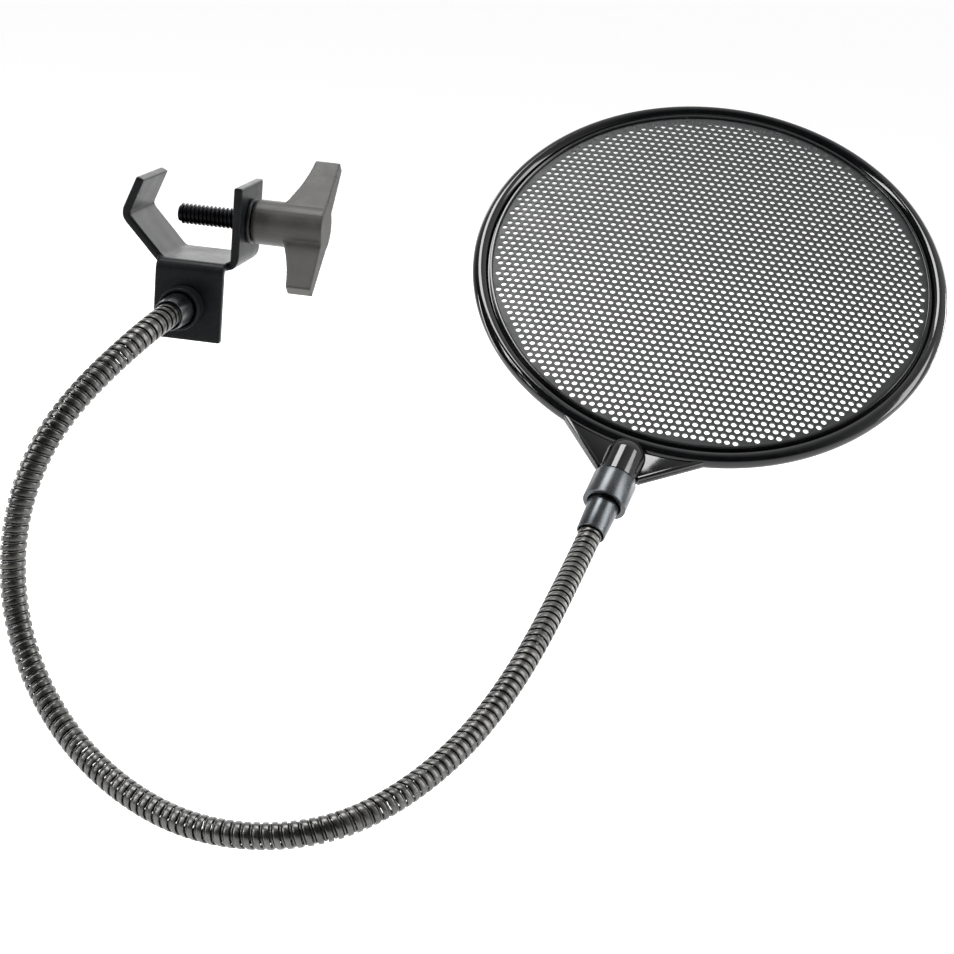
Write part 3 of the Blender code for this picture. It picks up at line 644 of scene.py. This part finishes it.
def cup_mesh(height, seat, radius, place):
    """A round seat with a turned lip and a recess for the ferrule's root."""
    outline = [
        (PIN_HOLE, FIT),
        (radius, FIT),
        (radius, height),
        (CUP_INNER, height),
        (CUP_INNER, seat),
        (PIN_HOLE, seat),
    ]
    return turned(rounded(outline, CUP_ROUNDING), TURNED_SIDES, place)


def ferrule_mesh(seat, place):
    """A tapered sleeve, bored for the neck."""
    root = seat + FIT
    mouth = root + FERRULE_LENGTH
    outline = [
        (PIN_HOLE, root),
        (FERRULE_ROOT_RADIUS, root),
        (FERRULE_MOUTH_RADIUS, mouth),
        (FERRULE_BORE_RADIUS, mouth),
        (FERRULE_BORE_RADIUS, mouth - FERRULE_BORE),
        (PIN_HOLE, mouth - FERRULE_BORE),
    ]
    return turned(rounded(outline, FERRULE_ROUNDING), TURNED_SIDES, place)


BASE_CUP_HEIGHT, BASE_SEAT, BASE_CUP_RADIUS = 6 * MM, 2.7 * MM, 6.35 * MM
HEAD_CUP_HEIGHT, HEAD_SEAT, HEAD_CUP_RADIUS = 10.5 * MM, 8.9 * MM, 7.05 * MM
base_cup = cup_mesh(BASE_CUP_HEIGHT, BASE_SEAT, BASE_CUP_RADIUS, base_place)
head_cup = cup_mesh(HEAD_CUP_HEIGHT, HEAD_SEAT, HEAD_CUP_RADIUS, head_place)
piece("cup_at_base", base_cup, powder_coat, "stand_clamp", ["base_cup"])
piece("cup_at_head", head_cup, black_anodised, "neck_12", ["head_cup"])
base_ferrule = ferrule_mesh(BASE_SEAT, base_place)
head_ferrule = ferrule_mesh(HEAD_SEAT, head_place)
piece("ferrule_at_base", base_ferrule, black_anodised, "stand_clamp", ["base_ferrule"])
piece("ferrule_at_head", head_ferrule, black_anodised, "neck_12", ["head_ferrule"])

# %% Fixings: the base screw, its washer and the head's stud
for node, body in (("fixing_screw", "stand_clamp"), ("lock_washer", "stand_clamp"), ("head_stud", "neck_12")):
    piece(node.replace("_", "_zinc_"), copy_of(node), zinc_plate, body, [node])

# %% [markdown]
# ## The gooseneck
#
# The neck's centre line is a smooth curve through the joints of the solid's chain of links, from one ferrule's
# mouth to the other's. A cubic spline whose slopes are solved all at once bends as evenly as the real neck.
#
# Each joint gets its own stretch of winding, from the middle of one link to the middle of the next.
# Neighbouring stretches meet in the middle of a link and overlap by one step of the winding.

# %% The neck's centre line
NECK_INSERTION = 8 * MM
LINE_STEP = 0.8 * MM


def even_spline(points, start_way, end_way, step):
    """Points on the smoothest curve through the given ones, about one step apart."""
    points = np.array(points, float)
    spans = np.linalg.norm(np.diff(points, axis=0), axis=1)
    matrix = np.eye(len(points))
    sides = np.zeros((len(points), 3))
    sides[0], sides[-1] = start_way, end_way
    for i in range(1, len(points) - 1):
        before, after = spans[i - 1], spans[i]
        matrix[i, i - 1 : i + 2] = after, 2 * (before + after), before
        moves = np.diff(points[i - 1 : i + 2], axis=0)
        sides[i] = 3 * (after * moves[0] / before + before * moves[1] / after)
    slopes = np.linalg.solve(matrix, sides)
    line = []
    for i, size in enumerate(spans):
        for t in np.arange(0, 1, step / size):
            near, far = 2 * t**3 - 3 * t**2 + 1, 3 * t**2 - 2 * t**3
            pull = size * ((t**3 - 2 * t**2 + t) * slopes[i] + (t**3 - t**2) * slopes[i + 1])
            line.append(near * points[i] + far * points[i + 1] + pull)
    return [Vector(p) for p in [*line, points[-1]]]


pivots = [Vector(joint["pos_m"]) for name, joint in joints.items() if name.startswith("neck_")]
base_mouth = base_root + base_way * (BASE_SEAT + FIT + FERRULE_LENGTH)
head_mouth = boss_end + socket_way * (HEAD_SEAT + FIT + FERRULE_LENGTH)
free_line = even_spline([base_mouth, *pivots, head_mouth], base_way, -socket_way, LINE_STEP)
neck_line = [base_mouth - base_way * NECK_INSERTION, *free_line, head_mouth - socket_way * NECK_INSERTION]
free_length = sum((b - a).length for a, b in zip(free_line, free_line[1:]))
print("free neck:", round(free_length / MM, 1), "mm;", len(neck_line), "points")

# %% Winding the neck
NECK_RADIUS = 3.75 * MM
WINDING_PITCH = 2.58 * MM
BAND_WIDTH = 0.68  # of the pitch
BAND_BASE = 0.7  # of the band's width
BAND_HEIGHT = 0.9 * MM
BAND_CROWN = 0.22 * MM
BAND_ROUNDING = 0.16 * MM
SPRING_CREST = 0.5 * MM
SPRING_BASE = 1.6 * MM  # wide enough to close the groove at the bottom
SPRING_HEIGHT = 1.2 * MM
SPRING_DROP = 0.4 * MM  # how far the narrow wire lies below the band's crown
SPRING_ROUNDING = 0.2 * MM
NECK_TUCK = 0.5 * MM  # how far the wires stop short of each end of the centre line
NECK_SMOOTH_ANGLE = math.radians(50)
WINDING_STEPS = 28

neck_curve = bpy.data.curves.new("neck_line", "CURVE")
neck_curve.dimensions = "3D"
neck_spline = neck_curve.splines.new("POLY")
neck_spline.points.add(len(neck_line) - 1)
for point, place in zip(neck_spline.points, neck_line):
    point.co = (*place, 1)

band = {
    "Pitch": WINDING_PITCH,
    "Radius": NECK_RADIUS - BAND_HEIGHT / 2,
    "Base width": WINDING_PITCH * BAND_WIDTH * BAND_BASE,
    "Crest width": WINDING_PITCH * BAND_WIDTH,
    "Height": BAND_HEIGHT,
    "Rounding": BAND_ROUNDING,
    "Crown": BAND_CROWN,
    "Shift": 0.0,
    "Steps per turn": WINDING_STEPS,
    "Section points": 20,
    "Material": black_wire,
}
spring = {
    **band,
    "Radius": NECK_RADIUS - SPRING_DROP - SPRING_HEIGHT / 2,
    "Base width": SPRING_BASE,
    "Crest width": SPRING_CREST,
    "Height": SPRING_HEIGHT,
    "Rounding": SPRING_ROUNDING,
    "Crown": 0.0,
    "Shift": WINDING_PITCH / 2,
    "Section points": 12,
    "Material": bright_wire,
}
link_length = free_length / (len(pivots) + 1)
whole_length = free_length + 2 * NECK_INSERTION
for i, pivot in enumerate(pivots):
    last = i == len(pivots) - 1
    start = NECK_TUCK if i == 0 else NECK_INSERTION + link_length * (i + 0.5)
    end = whole_length - NECK_TUCK if last else NECK_INSERTION + link_length * (i + 1.5)
    ends = (pivots[i - 1] if i else base_mouth, head_mouth if last else pivots[i + 1])
    way = (ends[1] - ends[0]).normalized()
    first = math.ceil(start / WINDING_PITCH * WINDING_STEPS) / WINDING_STEPS
    final = math.ceil(end / WINDING_PITCH * WINDING_STEPS) / WINDING_STEPS
    nodes = [f"neck_link_{i + 1:02d}"] + (["neck_link_00"] if i == 0 else [])
    for name, wire in (("band", band), ("spring", spring)):
        turns = final - first + 1 / WINDING_STEPS
        mesh = grow(winding_tree, neck_curve, {**wire, "First turn": first, "Turns": turns})
        mesh = finish_mesh(mesh, NECK_SMOOTH_ANGLE)
        obj = piece(f"neck_{name}_{i + 1:02d}", mesh, wire["Material"])
        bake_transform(obj)
        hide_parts(*nodes)
print("turns of wire:", round(whole_length / WINDING_PITCH))

# %% [markdown]
# ## The hoop
#
# The hoop is one moulding: a round bead with a ledge inside it for the screen, a boss that takes the neck's
# stud, and two thin webs that stiffen the joint between them. The bead is a turned outline. The boss is turned
# round the socket's axis, and its round nose dies into the bead. Each web is a flat plate with a thicker rib
# along its outer edge.

# %% Bead, boss and webs
HOOP_RADIUS = 80 * MM
BEAD_RADIUS = 2.65 * MM
BEAD_MIDDLE = HOOP_RADIUS - BEAD_RADIUS
LEDGE_RADIUS = HOOP_RADIUS - 7.2 * MM
LEDGE_TOP = 0.47 * MM
LEDGE_THICKNESS = 1.6 * MM
BOSS_RADIUS = 6.45 * MM
BOSS_NOSE = HOOP_RADIUS - 3 * MM
WEB_THICKNESS = 2 * MM
RIB_THICKNESS = 3.2 * MM
RIB_WIDTH = 1.5 * MM
WEB_SPREAD = math.radians(19)
WEB_ROUNDING = 0.35 * MM
BOSS_CHAMFER = 0.3 * MM
HOOP_SIDES = 256

ledge_bottom = LEDGE_TOP - LEDGE_THICKNESS
bead_start = math.pi - math.asin(LEDGE_TOP / BEAD_RADIUS)
bead_end = -math.pi - math.asin(ledge_bottom / BEAD_RADIUS)
bead = arc((BEAD_MIDDLE, 0), BEAD_RADIUS, bead_start, bead_end, 40)
bead_outline = [(LEDGE_RADIUS, LEDGE_TOP), *bead, (LEDGE_RADIUS, ledge_bottom)]
bead_mesh = turned(bead_outline, HOOP_SIDES, hoop_place)

nose = arc((0, BOSS_NOSE + BOSS_RADIUS), BOSS_RADIUS, -math.pi / 2, 0, 20)
rim = [(BOSS_RADIUS, BOSS_END_RADIUS - BOSS_CHAMFER), (BOSS_RADIUS - BOSS_CHAMFER, BOSS_END_RADIUS)]
rim.append((0, BOSS_END_RADIUS))
boss_mesh = turned([*nose, *rim], TURNED_SIDES, socket_place)


def plate(corners, thickness, place):
    """A flat plate with softened edges."""
    bm = bmesh.new()
    face = bm.faces.new([bm.verts.new((x, y, -thickness / 2)) for x, y in corners])
    grown = bmesh.ops.extrude_face_region(bm, geom=[face])
    moved = [item for item in grown["geom"] if isinstance(item, bmesh.types.BMVert)]
    bmesh.ops.translate(bm, verts=moved, vec=(0, 0, thickness))
    bmesh.ops.recalc_face_normals(bm, faces=bm.faces)
    bmesh.ops.bevel(bm, geom=list(bm.edges), offset=WEB_ROUNDING, segments=3, affect="EDGES", profile=0.5)
    bm.transform(place)
    mesh = bpy.data.meshes.new("plate")
    bm.to_mesh(mesh)
    bm.free()
    return finish_mesh(mesh)


web_meshes = []
for side in (-1, 1):
    out = BEAD_MIDDLE + BEAD_RADIUS / 2
    root = Vector((side * out * math.sin(WEB_SPREAD), -out * math.cos(WEB_SPREAD)))
    tip = Vector((side * (BOSS_RADIUS + RIB_WIDTH / 4), -(BOSS_END_RADIUS - 1.7 * MM)))
    inside = Vector((side * BOSS_RADIUS / 2, tip.y))
    along = (tip - root).normalized()
    inward = Vector((along.y, -along.x)) * side * RIB_WIDTH
    web_meshes.append(plate([root, tip, inside, Vector((inside.x, -BEAD_MIDDLE))], WEB_THICKNESS, hoop_place))
    web_meshes.append(plate([root, tip, tip + inward, root + inward], RIB_THICKNESS, hoop_place))

piece("hoop_bead", bead_mesh, polished_abs, "hoop", ["hoop_frame"])
piece("hoop_boss", boss_mesh, polished_abs, "hoop")
for i, mesh in enumerate(web_meshes):
    piece(f"hoop_web_{i}", mesh, polished_abs, "hoop")

# %% [markdown]
# ## The screen
#
# The screen is thin steel, punched with holes of 1.9 mm on a triangular grid and then pressed into a shallow
# dome. A shallow bump map would be cheaper, but light and air go through the real holes, and they are what the
# object is for, so every hole is cut here. The tree makes one six-sided cell with a hole in it, puts a copy on
# each point of the grid, joins the copies at their shared edges, draws the ragged outline out to a clean
# circle, and lifts the whole sheet into its dome. A Solidify modifier then gives the sheet its thickness.

# %% The perforated sheet
HOLE_SIDES = 12


def build_screen_tree():
    sizes = ["Pitch", "Hole diameter", "Punched radius", "Outer radius", "Dome rise", "Round share"]
    inputs = {label: "Float" for label in [*sizes, "Dome radius"]}
    tree, given = new_tree("perforated_sheet", {**inputs, "Material": "Material"})

    hole = add(tree, "ShaderNodeMath", {0: given["Hole diameter"], 1: 0.5}, operation="MULTIPLY")
    ring = add(tree, "GeometryNodeMeshCircle", {"Vertices": HOLE_SIDES, "Radius": hole}, fill_type="NONE")
    flat = add(tree, "GeometryNodeExtrudeMesh", {"Mesh": ring, "Offset Scale": 0.0}, mode="EDGES")
    spot = add(tree, "ShaderNodeSeparateXYZ", {0: add(tree, "GeometryNodeInputPosition")})
    turn = add(tree, "ShaderNodeMath", {0: spot.outputs["Y"], 1: spot.outputs["X"]}, operation="ARCTAN2")
    shifted = add(tree, "ShaderNodeMath", {0: turn, 1: math.radians(30)}, operation="ADD")
    nearest = add(tree, "ShaderNodeMath", {0: shifted, 1: math.radians(60)}, operation="SNAP")
    off = add(tree, "ShaderNodeMath", {0: turn, 1: nearest}, operation="SUBTRACT")
    slant = add(tree, "ShaderNodeMath", {0: off}, operation="COSINE")
    half = add(tree, "ShaderNodeMath", {0: given["Pitch"], 1: 0.5}, operation="MULTIPLY")
    reach = add(tree, "ShaderNodeMath", {0: half, 1: slant}, operation="DIVIDE")
    grow_by = add(tree, "ShaderNodeMath", {0: reach, 1: hole}, operation="DIVIDE")
    place = add(tree, "GeometryNodeInputPosition")
    hexagon = add(tree, "ShaderNodeVectorMath", {0: place, "Scale": grow_by}, operation="SCALE")
    outline = {"Geometry": flat, "Selection": flat.outputs["Top"], "Position": hexagon}
    cell = add(tree, "GeometryNodeSetPosition", outline)
    edge = {"Geometry": cell, "Name": "outline", "Value": flat.outputs["Top"]}
    marked = add(tree, "GeometryNodeStoreNamedAttribute", edge, data_type="BOOLEAN", domain="EDGE")

    across = add(tree, "ShaderNodeMath", {0: given["Punched radius"], 1: given["Pitch"]}, operation="DIVIDE")
    wide = add(tree, "ShaderNodeMath", {0: across}, operation="CEIL")
    many = add(tree, "ShaderNodeMath", {0: wide, 1: 2.0, 2: 5.0}, operation="MULTIPLY_ADD")
    steps = add(tree, "ShaderNodeMath", {0: many, 1: 1.0}, operation="SUBTRACT")
    size = add(tree, "ShaderNodeMath", {0: steps, 1: given["Pitch"]}, operation="MULTIPLY")
    rise = add(tree, "ShaderNodeMath", {0: given["Pitch"], 1: math.sqrt(3) / 2}, operation="MULTIPLY")
    rows = add(tree, "ShaderNodeMath", {0: many, 1: 1.2, 2: 0.0}, operation="MULTIPLY_ADD")
    half_rows = add(tree, "ShaderNodeMath", {0: rows, 1: 0.5}, operation="MULTIPLY")
    whole = add(tree, "ShaderNodeMath", {0: half_rows}, operation="CEIL")
    odd_rows = add(tree, "ShaderNodeMath", {0: whole, 1: 2.0, 2: 1.0}, operation="MULTIPLY_ADD")
    row_steps = add(tree, "ShaderNodeMath", {0: whole, 1: 2.0}, operation="MULTIPLY")
    deep = add(tree, "ShaderNodeMath", {0: row_steps, 1: rise}, operation="MULTIPLY")
    grid_sizes = {"Size X": size, "Size Y": deep, "Vertices X": many, "Vertices Y": odd_rows}
    grid = add(tree, "GeometryNodeMeshGrid", grid_sizes)
    at = add(tree, "ShaderNodeSeparateXYZ", {0: add(tree, "GeometryNodeInputPosition")})
    row = add(tree, "ShaderNodeMath", {0: at.outputs["Y"], 1: rise}, operation="DIVIDE")
    row_number = add(tree, "ShaderNodeMath", {0: row}, operation="ROUND")
    odd = add(tree, "ShaderNodeMath", {0: row_number, 1: 2.0}, operation="FLOORED_MODULO")
    slide = add(tree, "ShaderNodeMath", {0: odd, 1: half}, operation="MULTIPLY")
    slide_by = add(tree, "ShaderNodeCombineXYZ", {"X": slide})
    staggered = add(tree, "GeometryNodeSetPosition", {"Geometry": grid, "Offset": slide_by})
    from_middle = {0: add(tree, "GeometryNodeInputPosition")}
    radius = add(tree, "ShaderNodeVectorMath", from_middle, operation="LENGTH").outputs["Value"]
    beyond = {0: radius, 1: given["Punched radius"]}
    outside = add(tree, "ShaderNodeMath", beyond, operation="GREATER_THAN")
    cut = {"Geometry": staggered, "Selection": outside}
    inside = add(tree, "GeometryNodeDeleteGeometry", cut, domain="POINT")

    copies = add(tree, "GeometryNodeInstanceOnPoints", {"Points": inside, "Instance": marked})
    real = add(tree, "GeometryNodeRealizeInstances", {0: copies})
    joined = add(tree, "GeometryNodeMergeByDistance", {"Geometry": real, "Distance": 0.03 * MM})
    border = add(tree, "GeometryNodeInputNamedAttribute", {"Name": "outline"}, data_type="BOOLEAN")
    faces = add(tree, "GeometryNodeInputMeshEdgeNeighbors")
    alone = add(tree, "FunctionNodeCompare", {2: faces, 3: 1}, data_type="INT", operation="EQUAL")
    open_edge = add(tree, "FunctionNodeBooleanMath", {0: border, 1: alone}, operation="AND")
    pulled = {"Mesh": joined, "Selection": open_edge, "Offset Scale": 0.0}
    rim = add(tree, "GeometryNodeExtrudeMesh", pulled, mode="EDGES")
    way = add(tree, "ShaderNodeVectorMath", {0: add(tree, "GeometryNodeInputPosition")}, operation="NORMALIZE")
    circle = add(tree, "ShaderNodeVectorMath", {0: way, "Scale": given["Outer radius"]}, operation="SCALE")
    drawn = {"Geometry": rim, "Selection": rim.outputs["Top"], "Position": circle}
    round_edge = add(tree, "GeometryNodeSetPosition", drawn)

    share = add(tree, "ShaderNodeMath", {0: radius, 1: given["Dome radius"]}, operation="DIVIDE")
    capped = add(tree, "ShaderNodeMath", {0: share, 1: 1.0}, operation="MINIMUM")
    square = add(tree, "ShaderNodeMath", {0: capped, 1: capped}, operation="MULTIPLY")
    fourth = add(tree, "ShaderNodeMath", {0: square, 1: square}, operation="MULTIPLY")
    gap = add(tree, "ShaderNodeMath", {0: square, 1: fourth}, operation="SUBTRACT")
    fall = {0: gap, 1: given["Round share"], 2: fourth}
    curve = add(tree, "ShaderNodeMath", fall, operation="MULTIPLY_ADD")
    left = add(tree, "ShaderNodeMath", {0: 1.0, 1: curve}, operation="SUBTRACT")
    lift = add(tree, "ShaderNodeMath", {0: left, 1: given["Dome rise"]}, operation="MULTIPLY")
    raise_by = add(tree, "ShaderNodeCombineXYZ", {"Z": lift})
    dome = add(tree, "GeometryNodeSetPosition", {"Geometry": round_edge, "Offset": raise_by})
    end_tree(tree, dome, given["Material"])
    return tree


SCREEN_RADIUS = 74.29 * MM
SCREEN_FRONT = 1.57 * MM
SCREEN_THICKNESS = 0.8 * MM
HOLE_PITCH = 2.694 * MM
GRID_TURN = math.radians(12.1)
sheet = {
    "Pitch": HOLE_PITCH,
    "Hole diameter": 1.9 * MM,
    "Punched radius": 72.1 * MM,
    "Outer radius": SCREEN_RADIUS,
    "Dome rise": 2.35 * MM,
    "Round share": 0.62,
    "Dome radius": 72.7 * MM,
    "Material": stove_enamel,
}
screen_tree = build_screen_tree()
sheet_mesh = grow(screen_tree, bpy.data.meshes.new("seed"), sheet)
holes = len(sheet_mesh.polygons) // HOLE_SIDES
sheet_place = hoop_place @ Matrix.Translation((0, 0, SCREEN_FRONT)) @ Matrix.Rotation(GRID_TURN, 4, "Z")
sheet_bm = bmesh.new()
sheet_bm.from_mesh(sheet_mesh)
bmesh.ops.recalc_face_normals(sheet_bm, faces=sheet_bm.faces)
if sum(face.normal.z for face in sheet_bm.faces) < 0:
    bmesh.ops.reverse_faces(sheet_bm, faces=sheet_bm.faces)
sheet_bm.transform(sheet_place)
sheet_bm.to_mesh(sheet_mesh)
sheet_bm.free()
thick = baked(sheet_mesh, ("SOLIDIFY", {"thickness": SCREEN_THICKNESS, "offset": -1.0}))
piece("screen", finish_mesh(thick), stove_enamel, "hoop", ["mesh_screen"])
print("holes: about", holes)

# %% [markdown]
# A narrow ring presses the screen's edge onto the ledge. It is polished like the hoop, so that it can catch a
# thin bright line.

# %% Retaining ring
RING_WIDTH = 1 * MM
RING_HEIGHT = 0.75 * MM
RING_CLEARANCE = 0.02 * MM
RING_ROUNDING = 0.25 * MM
ring_low, ring_high = SCREEN_FRONT + RING_CLEARANCE, SCREEN_FRONT + RING_HEIGHT
ring_inner = SCREEN_RADIUS - RING_WIDTH
ring = [(ring_inner, ring_low), (SCREEN_RADIUS, ring_low), (SCREEN_RADIUS, ring_high), (ring_inner, ring_high)]
ring_mesh = turned(rounded(ring, RING_ROUNDING), HOOP_SIDES, hoop_place)
piece("screen_ring", ring_mesh, polished_abs, "hoop", ["retaining_ring"])
